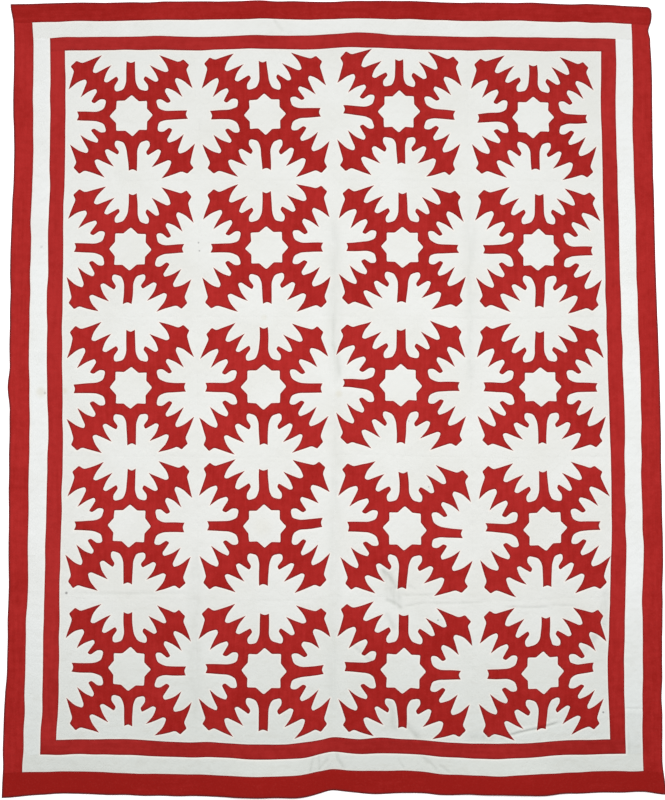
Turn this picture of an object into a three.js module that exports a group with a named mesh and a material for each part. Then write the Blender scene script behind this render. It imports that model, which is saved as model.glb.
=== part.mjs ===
// A bedspread lying flat and face up: white cotton blocks, each with one red leaf motif sewn on,
// framed by three rounds of border strips, red, white and red.
// Millimetres. +X runs across the bedspread, +Y to its top edge and +Z up from the surface.
import * as THREE from 'three';

// Driving dimensions
const COLUMNS = 4;
const BLOCK_WIDTH = 412;
const ROW_LENGTHS = [407, 418.5, 424, 427, 422]; // of the blocks, from the top row down
const CLOTH = 4; // quilted cloth, between its seams
const SEAM_DIP = 0.8; // how far the quilting draws the edge of a piece down
const APPLIQUE = 1; // the leaf's cotton with its turned edge
const GAP = 0.3; // between one piece and the next
const STEPS = 4; // stations along the side of a block

// Border rounds, from the field outwards, with the widths of their strips
const ROUNDS = [
  { name: 'inner_red', cloth: 'red', side: 46.5, top: 43.5, bottom: 44.5 },
  { name: 'white', cloth: 'white', side: 51, top: 49.5, bottom: 50 },
  { name: 'outer_red', cloth: 'red', side: 60, top: 58, bottom: 64.5 },
];

// The whole bedspread and its field, about the bedspread's centre
const total = (strip) => ROUNDS.reduce((sum, round) => sum + round[strip], 0);
const FIELD_LENGTH = ROW_LENGTHS.reduce((sum, length) => sum + length, 0);
const HALF_WIDTH = (COLUMNS * BLOCK_WIDTH) / 2 + total('side');
const HALF_LENGTH = (FIELD_LENGTH + total('top') + total('bottom')) / 2;
const FIELD = {
  left: -HALF_WIDTH + total('side'),
  right: HALF_WIDTH - total('side'),
  low: -HALF_LENGTH + total('bottom'),
  high: HALF_LENGTH - total('top'),
};

// How far each side strays from its straight line: the place along the side, and the shift
// towards +X for the left and right sides or towards +Y for the bottom and top.
const LEFT = [
  { at: -1204, shift: -6.5 },
  { at: -735, shift: 4 },
  { at: -420, shift: 3.5 },
  { at: 0, shift: -0.5 },
  { at: 210, shift: -2.5 },
  { at: 735, shift: 0.5 },
  { at: 1092, shift: -4.5 },
  { at: 1204, shift: -9.5 },
];
const RIGHT = [
  { at: -1204, shift: 9 },
  { at: -1092, shift: -0.5 },
  { at: -735, shift: 5 },
  { at: -420, shift: 9.5 },
  { at: -105, shift: 8.5 },
  { at: 315, shift: 2.5 },
  { at: 735, shift: -3 },
  { at: 1092, shift: -1.5 },
  { at: 1204, shift: -5 },
];
const BOTTOM = [
  { at: -981, shift: -5.5 },
  { at: -824, shift: 5.5 },
  { at: -412, shift: 1.5 },
  { at: -206, shift: -7.5 },
  { at: 0, shift: 16.5 },
  { at: 103, shift: 11.5 },
  { at: 309, shift: 8.5 },
  { at: 515, shift: -1.5 },
  { at: 721, shift: 6.5 },
  { at: 920, shift: 9.5 },
  { at: 981, shift: 1.5 },
];
const TOP = [
  { at: -981, shift: -3.5 },
  { at: -721, shift: 3 },
  { at: -206, shift: 7.5 },
  { at: 103, shift: 7.5 },
  { at: 515, shift: 1.5 },
  { at: 824, shift: -2.5 },
  { at: 981, shift: -10.5 },
];

// Soft ridges that run down through the lower border to the hem
const HEM_RIDGES = [
  { at: -206, half: 190, height: 9 },
  { at: 515, half: 250, height: 8 },
];

// One eighth of a leaf motif, from the middle of a stem's end to the corner of an arm. "across" is
// measured from the stem's centre line and "along" from the leaf's centre.
const LEAF = [
  { place: 'bite in the stem end', across: 0, along: 165 },
  { place: 'stem end', across: 13, along: 171 },
  { place: 'stem waist', across: 14.5, along: 106 },
  { place: 'first gap, stem side', across: 24, along: 83 },
  { place: 'end of the first gap', across: 46.5, along: 77.5 },
  { place: 'first gap, thumb side', across: 51, along: 93 },
  { place: 'thumb, stem side', across: 38.5, along: 115 },
  { place: 'thumb, outer side', across: 43.5, along: 123 },
  { place: 'second gap', across: 75.5, along: 105.5 },
  { place: 'second gap, far side', across: 82.5, along: 110.5 },
  { place: 'belly of the second gap', across: 76, along: 132 },
  { place: 'middle point', across: 57.5, along: 158 },
  { place: 'third gap', across: 107, along: 137 },
  { place: 'third gap, far side', across: 114.5, along: 141.5 },
  { place: 'belly of the third gap', across: 109.5, along: 161 },
  { place: 'long point', across: 86.5, along: 190 },
  { place: 'dip in the arm end', across: 145, along: 171.5 },
  { place: 'corner bump', across: 161.5, along: 179 },
];

// One eighth of the star-shaped hole in a leaf
const STAR = [
  { place: 'axis point', across: 0, along: 65.5 },
  { place: 'inner corner', across: 22, along: 47.2 },
  { place: 'diagonal corner', across: 47.5, along: 47.5 },
];

// How each leaf was placed by hand on its block: millimetres off the block's centre, and degrees
// of turn, anticlockwise. Row 1 is at the top and column 1 on the left. "size" is a share of the
// drawing and "star" is how much wider the hole was cut. "arms" is how much further each arm
// reaches, from upper left and upper right to lower left and lower right, and "leans" is how far
// its end leans aside, clockwise.
const PLACING = [
  {
    row: 1, column: 1, right: 0, up: -1, turn: 0.5, size: 1, star: -1,
    arms: [2, -6, 1, 8], leans: [-7, 0, 1, 0],
  },
  {
    row: 1, column: 2, right: -4, up: 0, turn: 1.5, size: 1, star: -2,
    arms: [5, 0, 2, 8], leans: [0, 2, 2, -1],
  },
  {
    row: 1, column: 3, right: -3, up: 8, turn: -0.5, size: 1, star: 0,
    arms: [2, 0, 5, 4], leans: [0, 2, -4, 13],
  },
  {
    row: 1, column: 4, right: -3, up: -3, turn: 0.5, size: 1, star: -2,
    arms: [1, -9, -2, 7], leans: [0, 0, 2, 5],
  },
  {
    row: 2, column: 1, right: -2, up: -1, turn: -2, size: 1, star: -1,
    arms: [1, 2, 9, 0], leans: [0, -1, -8, -4],
  },
  {
    row: 2, column: 2, right: 3, up: 3, turn: 0.5, size: 1.01, star: -1,
    arms: [0, 5, 6, 4], leans: [-1, -1, -1, 4],
  },
  {
    row: 2, column: 3, right: 4, up: 2, turn: -1, size: 1, star: -2,
    arms: [2, -2, -2, 0], leans: [-4, -1, 3, -7],
  },
  {
    row: 2, column: 4, right: 7, up: -1, turn: -0.5, size: 1, star: -1,
    arms: [3, -3, 1, 5], leans: [-1, -3, 3, 6],
  },
  {
    row: 3, column: 1, right: 4, up: -4, turn: 0.5, size: 1.03, star: -2,
    arms: [1, 0, 4, -5], leans: [4, -8, -3, 10],
  },
  {
    row: 3, column: 2, right: -7, up: -1, turn: 0, size: 1.03, star: 0,
    arms: [-10, -1, 3, -1], leans: [5, -1, -6, 5],
  },
  {
    row: 3, column: 3, right: -4, up: 2.5, turn: -1, size: 1.03, star: -4,
    arms: [-4, 0, -2, -3], leans: [-1, -6, -1, -4],
  },
  {
    row: 3, column: 4, right: 4, up: 0, turn: 0.5, size: 1, star: -3,
    arms: [7, -3, -2, 5], leans: [10, 3, 3, 4],
  },
  {
    row: 4, column: 1, right: 1, up: 4, turn: -1.5, size: 1, star: -1,
    arms: [-3, 4, 7, 0], leans: [-2, -9, -8, 4],
  },
  {
    row: 4, column: 2, right: -5, up: 8, turn: 0.5, size: 1.03, star: -3,
    arms: [2, 0, 1, 3], leans: [7, -1, -3, 4],
  },
  {
    row: 4, column: 3, right: 4, up: -7, turn: -1.5, size: 1.03, star: -1,
    arms: [8, 2, -5, 4], leans: [-2, 0, -12, -9],
  },
  {
    row: 4, column: 4, right: 11, up: -1, turn: 1.5, size: 1.03, star: -1,
    arms: [5, -8, 3, -1], leans: [9, -3, -1, 7],
  },
  {
    row: 5, column: 1, right: 5, up: 3, turn: -1, size: 1, star: -2,
    arms: [2, -9, 0, 6], leans: [-4, -12, -10, 6],
  },
  {
    row: 5, column: 2, right: -2, up: 3, turn: -1, size: 1.03, star: 1,
    arms: [5, -3, -3, 6], leans: [-5, 0, -3, -2],
  },
  {
    row: 5, column: 3, right: 1, up: -8.5, turn: -1, size: 1.035, star: 1,
    arms: [8, 5, -6, 1], leans: [4, 13, -6, -6],
  },
  {
    row: 5, column: 4, right: 7, up: -6.5, turn: 0.5, size: 1, star: -2,
    arms: [3, 3, 5, -10], leans: [7, 4, -4, 5],
  },
];
const ARM_SIGNS = [[-1, 1], [1, 1], [-1, -1], [1, -1]];
const ARM_LENGTH = 165; // along each axis, to the end of an arm
const STAR_SIZE = 60; // from the middle to about the edge of the star

const COTTON = {
  white: new THREE.MeshStandardMaterial({ color: 0xe6e9e4, roughness: 0.95, metalness: 0 }),
  red: new THREE.MeshStandardMaterial({ color: 0xab2b29, roughness: 0.9, metalness: 0 }),
};

// A smooth reading between the rows of a side table, with no swing past its highest and lowest
function shiftAt(rows, at) {
  const last = rows.length - 1;
  const place = THREE.MathUtils.clamp(at, rows[0].at, rows[last].at);
  let i = 0;
  while (i < last - 1 && place > rows[i + 1].at) i += 1;
  const slope = (k) => {
    if (k === 0 || k === last) return 0;
    const before = rows[k].shift - rows[k - 1].shift;
    const after = rows[k + 1].shift - rows[k].shift;
    if (before * after <= 0) return 0;
    return (before + after) / (rows[k + 1].at - rows[k - 1].at);
  };
  const run = rows[i + 1].at - rows[i].at;
  const t = (place - rows[i].at) / run;
  const rise = t * t * (3 - 2 * t);
  const bend = slope(i) * t * (1 - t) ** 2 - slope(i + 1) * t * t * (1 - t);
  return rows[i].shift + (rows[i + 1].shift - rows[i].shift) * rise + run * bend;
}

// How high the cloth lifts off the surface
function lift(x, y) {
  const run = THREE.MathUtils.smoothstep(-y, -FIELD.low, HALF_LENGTH);
  const ridge = (row) => {
    const near = 1 - THREE.MathUtils.smoothstep(Math.abs(x - row.at), 0, row.half);
    return row.height * near;
  };
  return run * HEM_RIDGES.reduce((sum, row) => sum + ridge(row), 0);
}

// Moves a point of the even pattern to where it lies in the cloth. A side's straying fades with
// the square of the distance from that side.
function layOut(point) {
  const { x, y } = point;
  const toRight = (1 + x / HALF_WIDTH) / 2;
  const toTop = (1 + y / HALF_LENGTH) / 2;
  point.x += shiftAt(LEFT, y) * (1 - toRight) ** 2 + shiftAt(RIGHT, y) * toRight ** 2;
  point.y += shiftAt(BOTTOM, x) * (1 - toTop) ** 2 + shiftAt(TOP, x) * toTop ** 2;
  point.z += lift(x, y);
  return point;
}

// Applies a change to every corner of a geometry
function reshape(geometry, change) {
  const corners = geometry.getAttribute('position');
  const point = new THREE.Vector3();
  for (let i = 0; i < corners.count; i += 1) {
    change(point.fromBufferAttribute(corners, i));
    corners.setXYZ(i, point.x, point.y, point.z);
  }
  geometry.computeVertexNormals();
  return geometry;
}

// A sheet of quilted cloth over stations in X and Y, drawn down along its seams
function quiltedSheet(xs, ys) {
  const nx = xs.length - 1;
  const ny = ys.length - 1;
  const half = GAP / 2;
  const inset = (values, k) => values[k] + (k === 0 ? half : 0) - (k === values.length - 1 ? half : 0);
  return reshape(new THREE.BoxGeometry(nx, ny, 1, nx, ny, 1), (point) => {
    const i = Math.round(point.x + nx / 2);
    const j = Math.round(point.y + ny / 2);
    const onSeam = i === 0 || i === nx || j === 0 || j === ny;
    const top = onSeam ? CLOTH - SEAM_DIP : CLOTH;
    point.set(inset(xs, i), inset(ys, j), point.z > 0 ? top : 0);
    layOut(point);
  });
}

// A whole outline: the eighth, its mirror image in the diagonal, and three turns of both
function wholeOutline(table) {
  const part = table.map((row) => new THREE.Vector2(row.across, row.along));
  const mirrored = part.map((p) => new THREE.Vector2(p.y, p.x)).reverse();
  const quarter = [...part, ...mirrored];
  const centre = new THREE.Vector2();
  const points = [];
  for (let turn = 0; turn < 4; turn += 1) {
    for (const p of quarter) {
      const next = p.clone().rotateAround(centre, (-turn * Math.PI) / 2);
      const previous = points[points.length - 1];
      if (!previous || previous.distanceTo(next) > GAP) points.push(next);
    }
  }
  if (points[0].distanceTo(points[points.length - 1]) < GAP) points.pop();
  return points;
}

// Moves a point of the drawn leaf to where the scissors went on one leaf
function handCut(point, { size, arms, leans }) {
  const drawn = point.clone();
  ARM_SIGNS.forEach(([signX, signY], k) => {
    const shareX = Math.max((signX * drawn.x) / ARM_LENGTH, 0);
    const shareY = Math.max((signY * drawn.y) / ARM_LENGTH, 0);
    const share = (shareX * shareY) / Math.SQRT2;
    point.x += (signX * arms[k] + signY * leans[k]) * share;
    point.y += (signY * arms[k] - signX * leans[k]) * share;
  });
  return point.multiplyScalar(size);
}

// One leaf motif, flat on the block whose centre is given
function leafSheet(centre, placing) {
  const { right, up, turn, star } = placing;
  const place = (point) => {
    handCut(point, placing).rotateAround(new THREE.Vector2(), THREE.MathUtils.degToRad(turn));
    const laid = layOut(new THREE.Vector3(centre.x + right + point.x, centre.y + up + point.y, 0));
    return new THREE.Vector2(laid.x, laid.y);
  };
  const shape = new THREE.Shape(wholeOutline(LEAF).map(place).reverse());
  const hole = wholeOutline(STAR).map((point) => place(point.multiplyScalar(1 + star / STAR_SIZE)));
  shape.holes.push(new THREE.Path(hole));
  const leaf = new THREE.ExtrudeGeometry(shape, { depth: APPLIQUE, bevelEnabled: false });
  return leaf.translate(0, 0, CLOTH + GAP);
}

// Even stations from one place to another
function stations(from, to, steps) {
  return Array.from({ length: steps + 1 }, (_, k) => THREE.MathUtils.lerp(from, to, k / steps));
}

const bedspread = new THREE.Group();

function add(name, geometry, cloth) {
  const mesh = new THREE.Mesh(geometry, COTTON[cloth]);
  mesh.name = name;
  bedspread.add(mesh);
}

// The seams across the field, from its top edge down to its lower edge
const ROW_SEAMS = [FIELD.high];
for (const length of ROW_LENGTHS) ROW_SEAMS.push(ROW_SEAMS.at(-1) - length);

// The field: blocks and leaves
for (const placing of PLACING) {
  const { row, column } = placing;
  const left = FIELD.left + (column - 1) * BLOCK_WIDTH;
  const low = ROW_SEAMS[row];
  const high = ROW_SEAMS[row - 1];
  const xs = stations(left, left + BLOCK_WIDTH, STEPS);
  const ys = stations(low, high, STEPS);
  const centre = new THREE.Vector2(left + BLOCK_WIDTH / 2, (low + high) / 2);
  add(`block_${row}_${column}`, quiltedSheet(xs, ys), 'white');
  add(`leaf_${row}_${column}`, leafSheet(centre, placing), 'red');
}

// The border rounds: side strips between a top and a bottom strip that run the full width
let alongX = stations(FIELD.left, FIELD.right, COLUMNS * STEPS);
let alongY = ROW_SEAMS.slice(1).reverse().flatMap((low, k, lows) => {
  const high = k + 1 < lows.length ? lows[k + 1] : FIELD.high;
  return stations(low, high, STEPS).slice(0, STEPS);
});
alongY.push(FIELD.high);
for (const { name, cloth, side, top, bottom } of ROUNDS) {
  const leftBand = stations(alongX[0] - side, alongX[0], 2);
  const rightBand = stations(alongX.at(-1), alongX.at(-1) + side, 2);
  const lowBand = stations(alongY[0] - bottom, alongY[0], 2);
  const highBand = stations(alongY.at(-1), alongY.at(-1) + top, 2);
  add(`${name}_left`, quiltedSheet(leftBand, alongY), cloth);
  add(`${name}_right`, quiltedSheet(rightBand, alongY), cloth);
  alongX = [...leftBand, ...alongX.slice(1, -1), ...rightBand];
  add(`${name}_bottom`, quiltedSheet(alongX, lowBand), cloth);
  add(`${name}_top`, quiltedSheet(alongX, highBand), cloth);
  alongY = [...lowBand, ...alongY.slice(1, -1), ...highBand];
}

export default bedspread;
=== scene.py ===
# %% [markdown]
# # A red and white leaf bedspread
# The bedspread lies flat and face up. Twenty white cotton blocks each carry one red leaf motif,
# cut from folded cloth and sewn on by hand, and three rounds of border strips frame them.
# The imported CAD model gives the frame: each sheet made here stands for one of its solids, lies
# where that solid lies, and adds what a needle does to cloth, such as seams, quilting and puckers.

# %% Load the frame
import math

import bmesh
import bpy
import numpy as np
from mathutils import Matrix, Vector


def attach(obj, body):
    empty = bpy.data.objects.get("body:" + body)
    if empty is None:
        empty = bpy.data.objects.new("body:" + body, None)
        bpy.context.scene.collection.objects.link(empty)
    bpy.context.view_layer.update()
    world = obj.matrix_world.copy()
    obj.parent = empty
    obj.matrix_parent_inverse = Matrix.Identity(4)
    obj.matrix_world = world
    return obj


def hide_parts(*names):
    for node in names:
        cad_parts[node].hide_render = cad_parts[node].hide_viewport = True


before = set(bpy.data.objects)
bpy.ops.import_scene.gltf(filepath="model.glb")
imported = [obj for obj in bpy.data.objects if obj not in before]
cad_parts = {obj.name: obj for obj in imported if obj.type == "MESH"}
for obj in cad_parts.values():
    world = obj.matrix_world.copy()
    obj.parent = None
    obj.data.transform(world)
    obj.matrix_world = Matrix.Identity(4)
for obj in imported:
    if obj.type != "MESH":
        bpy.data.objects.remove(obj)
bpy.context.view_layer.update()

# %% [markdown]
# ## The maker's plan
# A quilter draws an even plan first: four blocks by five, then the strips. The plan is kept in
# millimetres, because seams and stitches are easier to read that way, and MM turns it into the
# metres of the meshes. Its origin is the middle of the bedspread, as in the frame. What is given
# stands in tables, with the names of the columns first.

# %% Sizes of the plan
def table(names, rows):
    """The rows of a table, each as a dictionary."""
    return [dict(zip(names.split(), row)) for row in rows]


MM = 0.001
COLUMNS = 4
BLOCK_WIDTH = 412
ROW_LENGTHS = [407, 418.5, 424, 427, 422]  # of the blocks, from the top row down
CLOTH = 4  # thickness of the quilted cloth between its seams
GAP = 0.04  # from one piece to the next, where a seam joins them
ROUNDS = table("name cloth side top bottom", [
    ("inner_red", "red", 46.5, 43.5, 44.5),
    ("white", "white", 51, 49.5, 50),
    ("outer_red", "red", 60, 58, 64.5),
])


def total(strip):
    return sum(one[strip] for one in ROUNDS)


HALF_WIDTH = COLUMNS * BLOCK_WIDTH / 2 + total("side")
HALF_LENGTH = (sum(ROW_LENGTHS) + total("top") + total("bottom")) / 2
FIELD_LEFT = -HALF_WIDTH + total("side")
FIELD_LOW = -HALF_LENGTH + total("bottom")
FIELD_HIGH = HALF_LENGTH - total("top")
ROW_SEAMS = FIELD_HIGH - np.concatenate([[0], np.cumsum(ROW_LENGTHS)])
print("plan:", 2 * HALF_WIDTH, "by", 2 * HALF_LENGTH, "mm")

# %% [markdown]
# ## How the sides stray
# Hand-sewn cloth is never quite square. Each side has a short table of places and of how far the
# edge has moved there. Straight lines from row to row would show as corners in the hem, so a
# smooth curve runs through them.

# %% Straying sides
LEFT = [
    (-1204, -6.5), (-735, 4), (-420, 3.5), (0, -0.5), (210, -2.5), (735, 0.5), (1092, -4.5),
    (1204, -9.5),
]
RIGHT = [
    (-1204, 3), (-1092, -0.5), (-735, 5), (-420, 9.5), (-105, 8.5), (315, 2.5), (735, -3),
    (1092, -1.5), (1204, -5),
]
BOTTOM = [
    (-981, 4), (-824, 7), (-412, -1.5), (-206, -6.5), (-147, -6.5), (-101, -5), (-71, 0),
    (-41, 7.5), (0, 15.5), (50, 11.5), (103, 10), (204, 10), (265, 7), (322, 0.5), (443, -4.5),
    (515, -6.5), (565, -5), (686, 5.5), (721, 6.5), (920, 9), (981, 1.5),
]
TOP = [(-981, -3.5), (-721, 3), (-206, 7.5), (103, 7.5), (515, 1.5), (824, -2.5), (981, -10.5)]


def shift_at(side, at):
    """The shift of a side at places along it, smooth, with no swing past the table's rows."""
    place, shift = np.array(side, float).T
    run = np.diff(place)
    rise = np.diff(shift)
    slope = np.zeros(len(place))
    steady = rise[:-1] * rise[1:] > 0
    slope[1:-1] = np.where(steady, (rise[:-1] + rise[1:]) / (run[:-1] + run[1:]), 0)
    at = np.clip(at, place[0], place[-1])
    i = np.clip(np.searchsorted(place, at) - 1, 0, len(run) - 1)
    t = (at - place[i]) / run[i]
    bend = slope[i] * t * (1 - t) ** 2 - slope[i + 1] * t * t * (1 - t)
    return shift[i] + rise[i] * t * t * (3 - 2 * t) + run[i] * bend


print("the hem's notch goes up", round(float(shift_at(BOTTOM, 0.0)), 1), "mm")

# %% [markdown]
# Much of a quilt is small and uneven: wobbling seams, waves and puckers. Smooth noise gives all of
# these. It is a lattice of random heights with a seed, so it is the same on each run, and pieces
# that meet at a seam read the same noise there and stay together.

# %% Smooth noise
LATTICE = 128  # random heights along each side of the lattice


def smoothstep(value, low, high):
    t = np.clip((value - low) / (high - low), 0, 1)
    return t * t * (3 - 2 * t)


def soft_noise(x, y, size, seed):
    """Smooth heights between about -1 and 1, in bumps that are `size` across."""
    heights = np.random.default_rng(seed).uniform(-1, 1, (LATTICE, LATTICE))
    turn = 0.6 + seed  # each seed also turns its lattice, so that no two lie alike
    u = (x * math.cos(turn) - y * math.sin(turn)) / size
    v = (x * math.sin(turn) + y * math.cos(turn)) / size
    i = np.floor(u).astype(int)
    j = np.floor(v).astype(int)
    s = smoothstep(u - i, 0, 1)
    t = smoothstep(v - j, 0, 1)

    def between(line):
        return heights[i % LATTICE, line] * (1 - s) + heights[(i + 1) % LATTICE, line] * s

    return between(j % LATTICE) * (1 - t) + between((j + 1) % LATTICE) * t


print("noise:", LATTICE, "by", LATTICE, "heights to a lattice")

# %% [markdown]
# The straying of a side fades with the square of the distance from it, so the blocks in the middle
# stay nearly even, and all seams wobble by a millimetre or two. Some stretches stray on their own:
# the hem has a few drawn-out corners, and the seams between the strips lean in or out. Such a
# stretch is centred "at" a place along its side and lies "deep" inside the hem, and it fades over
# its "half" along the side and its "reach" across it. The upper right corner is rounded.

# %% Lay out the plan
WOBBLES = table("size shift seed", [(150, 2.0, 11), (55, 1.6, 12)])
UPWARD_SEED = 50  # added to a wobble's seed for its shift up and down
STRAYS = table("side at half deep reach shift", [
    ("right", 1180, 42, 0, 55, 4),
    ("right", 1127, 30, 0, 55, -6),
    ("right", 1094, 85, 0, 55, -4),
    ("right", -1204, 110, 0, 55, 6),
    ("right", -260, 380, 150, 60, 8),
    ("right", -850, 190, 145, 80, -7.5),
    ("left", 1204, 60, 0, 55, -7),
    ("left", 10, 70, 0, 55, -6),
    ("left", 606, 120, 110, 90, 4),
    ("left", -100, 480, 125, 90, 5.5),
    ("left", -760, 260, 70, 80, -4.5),
    ("bottom", -981, 190, 0, 55, -9),
    ("bottom", -600, 260, 0, 55, -3),
    ("bottom", 140, 110, 0, 55, -5),
    ("bottom", 485, 170, 0, 55, 8),
    ("bottom", -640, 260, 155, 90, 5.5),
    ("bottom", 150, 80, 155, 70, 4.5),
    ("top", -390, 170, 115, 110, -5),
    ("top", 60, 150, 115, 100, 8),
])
ROUND_CORNER = 13  # at the upper right


def lay_out(x, y):
    """Where places of the even plan lie in the real cloth."""
    to_right = (1 + x / HALF_WIDTH) / 2
    to_top = (1 + y / HALF_LENGTH) / 2
    moved_x = x + shift_at(LEFT, y) * (1 - to_right) ** 2 + shift_at(RIGHT, y) * to_right ** 2
    moved_y = y + shift_at(BOTTOM, x) * (1 - to_top) ** 2 + shift_at(TOP, x) * to_top ** 2
    for one in WOBBLES:
        moved_x = moved_x + one["shift"] * soft_noise(x, y, one["size"], one["seed"])
        moved_y = moved_y + one["shift"] * soft_noise(x, y, one["size"], one["seed"] + UPWARD_SEED)
    from_hem = {
        "left": HALF_WIDTH + x,
        "right": HALF_WIDTH - x,
        "bottom": HALF_LENGTH + y,
        "top": HALF_LENGTH - y,
    }
    for one in STRAYS:
        sideways = one["side"] in ("left", "right")
        near = 1 - smoothstep(np.abs((y if sideways else x) - one["at"]), 0, one["half"])
        level = 1 - smoothstep(np.abs(from_hem[one["side"]] - one["deep"]), 0, one["reach"])
        moved = one["shift"] * near * level
        moved_x = moved_x + (moved if sideways else 0)
        moved_y = moved_y + (0 if sideways else moved)
    out_x = np.clip(1 - from_hem["right"] / ROUND_CORNER, 0, 1)
    out_y = np.clip(1 - from_hem["top"] / ROUND_CORNER, 0, 1)
    moved_x = moved_x - ROUND_CORNER * out_x * (1 - np.sqrt(1 - out_y ** 2 / 2))
    moved_y = moved_y - ROUND_CORNER * out_y * (1 - np.sqrt(1 - out_x ** 2 / 2))
    return moved_x, moved_y


corner = lay_out(np.array([-HALF_WIDTH]), np.array([-HALF_LENGTH]))
print("lower left corner lies at", [round(float(v[0]), 1) for v in corner])

# %% [markdown]
# ## Soft height
# Cloth that lies on a floor still rises and dips by a few millimetres. A cloth simulation could
# make that, but the big forms here are known: two soft ridges run down to the hem, and the rest
# is slow waves and small puckers. So the heights are worked out, with the same smooth noise.

# %% Ridges and waves
HEM_RIDGES = table("at half height", [(-206, 190, 9), (515, 250, 8)])
WAVES = table("size height seed", [(300, 1.0, 3), (120, 0.55, 4), (46, 0.28, 5), (21, 0.16, 6)])


def lift(x, y):
    """How high the cloth stands off the floor at places of the plan."""
    ridges = 0
    for one in HEM_RIDGES:
        near = 1 - smoothstep(np.abs(x - one["at"]), 0, one["half"])
        ridges = ridges + one["height"] * near
    return ridges * smoothstep(-y, -FIELD_LOW, HALF_LENGTH)


def waves(x, y):
    return sum(one["height"] * soft_noise(x, y, one["size"], one["seed"]) for one in WAVES)


spread = waves(*np.meshgrid(np.linspace(-900, 900, 60), np.linspace(-1100, 1100, 60)))
print("waves: from", round(float(spread.min()), 2), "to", round(float(spread.max()), 2), "mm")

# %% [markdown]
# ## Creases
# The creases that show were made when the bedspread was folded and shaken out. Each is a soft
# trough along a short path, with a low ridge beside it where the cloth has nowhere else to go,
# and painted shade darkens its trough. "half" is half the trough's width, "lip" is the ridge as a
# share of the depth, and "grey" is the strength of the painted shade. The paths are given in
# millimetres, as uneven as they lie.

# %% Creases
CREASES = table("half depth lip grey path", [
    (7, 1.3, 0.2, 0.36, [(140, -530), (164, -553), (177, -571), (195, -600)]),
    (22, 0.8, 0, 0.16, [(150, -540), (176, -585), (190, -645)]),
    (6, 1.2, 0.2, 0.26, [(152, -622), (172, -631), (187, -640), (207, -654)]),
    (16, 1.0, 0, 0.2, [(178, -580), (184, -619), (188, -665)]),
    (8, 0.8, 0.2, 0.2, [(153, -660), (169, -688), (186, -720)]),
    (4, 0.5, 0.2, 0.14, [(200, -610), (254, -612), (308, -610)]),
    (4, 0.5, 0.2, 0.14, [(206, -645), (241, -640), (282, -633)]),
    (5, 0.4, 0.2, 0.1, [(220, -580), (247, -596)]),
    (4, 0.5, 0.2, 0.14, [(262, -634), (340, -636), (410, -634), (468, -631)]),
    (4, 0.6, 0.2, 0.16, [(505, -646), (590, -648), (654, -646)]),
    (4, 0.5, 0.2, 0.12, [(648, -640), (686, -642), (730, -643)]),
    (12, 1.2, 0, 0.25, [(820, -590), (809, -661), (814, -725)]),
    (10, 1.2, 0.2, 0.25, [(796, -720), (762, -768), (730, -812)]),
    (4, 2.0, 0.5, 0.3, [(510, -1032), (559, -1018), (620, -1005), (682, -986)]),
    (12, 1.0, 0, 0.2, [(390, -1036), (461, -1033), (525, -1029)]),
    (5, 0.8, 0.2, 0.25, [(648, -922), (638, -958), (640, -996)]),
    (9, 1.3, 0.2, 0.28, [(198, -974), (228, -1014), (264, -1046)]),
    (9, 0.8, 0, 0.22, [(160, -920), (177, -961), (177, -999), (196, -1022)]),
    (4, 1.2, 0.4, 0.3, [(-58, -1074), (-64, -1108), (-72, -1144)]),
    (4, 0.9, 0.3, 0.2, [(-47, -1074), (-44, -1108), (-44, -1142)]),
    (4, 1.1, 0.3, 0.25, [(-14, -1094), (-46, -1132)]),
    (5, 1.0, 0.4, 0.22, [(4, -1066), (13, -1099), (32, -1128)]),
    (4, 0.8, 0.3, 0.2, [(190, -1098), (211, -1126)]),
    (7, 0.9, 0.3, 0.18, [(255, -1080), (284, -1112)]),
    (4, 1.0, 0.3, 0.24, [(282, -1102), (309, -1134)]),
    (4, 0.9, 0.3, 0.2, [(310, -1112), (350, -1140)]),
    (2.5, 0.5, 0.4, 0.3, [(879, -995), (882, -1092)]),
    (5, 0.6, 0.2, 0.1, [(-805, -604), (-643, -607), (-402, -604)]),
    (4, 0.8, 0.3, 0.2, [(-186, 1156), (-156, 1112)]),
    (5, 1.0, 0.3, 0.2, [(50, -756), (84, -786), (118, -816)]),
    (20, 1.0, 0, 0.13, [(-417, -440), (-418, -744), (-414, -1030)]),
    (20, 0.8, 0, 0.12, [(417, 640), (415, 282), (416, -40)]),
    (20, 0.5, 0, 0.1, [(8, 0), (2, -400), (-6, -1040)]),
    (18, 1.2, 0, 0.15, [(1, 570), (4, 359), (-2, 145), (10, 62), (8, -30)]),
    (5, 0.7, 0.2, 0.15, [(-3, 250), (-2, 145), (16, 90), (15, 20)]),
])
print("creases:", len(CREASES))

# %% [markdown]
# A crease is shaped by how far a place is from its path, and on which side. Each straight run of
# the path is measured in turn, and the nearest one counts.

# %% Heights of the creases
FADING = 0.18  # the share of its length over which a crease fades out at each end
LIP_OFF = 2  # from the path to the ridge beside it, in halves of the trough
LIP_HALF = 1.3  # and half the ridge's width


def along_path(x, y, path):
    """The signed distance of places from a path, and how far along it they are, from 0 to 1."""
    points = np.array(path, float)
    lengths = np.hypot(*np.diff(points, axis=0).T)
    reached = np.concatenate([[0], np.cumsum(lengths)]) / lengths.sum()
    nearest = np.full(np.shape(x), np.inf)
    side = np.zeros(np.shape(x))
    share = np.zeros(np.shape(x))
    for k, (start, end) in enumerate(zip(points[:-1], points[1:])):
        dx, dy = (end - start) / lengths[k]
        along = np.clip((x - start[0]) * dx + (y - start[1]) * dy, 0, lengths[k])
        off_x = x - start[0] - along * dx
        off_y = y - start[1] - along * dy
        away = np.hypot(off_x, off_y)
        closer = away < nearest
        nearest = np.where(closer, away, nearest)
        side = np.where(closer, np.sign(dx * off_y - dy * off_x), side)
        here = reached[k] + (reached[k + 1] - reached[k]) * along / lengths[k]
        share = np.where(closer, here, share)
    return nearest * side, share


def bell(value, half):
    return np.exp(-((value / half) ** 2))


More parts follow.
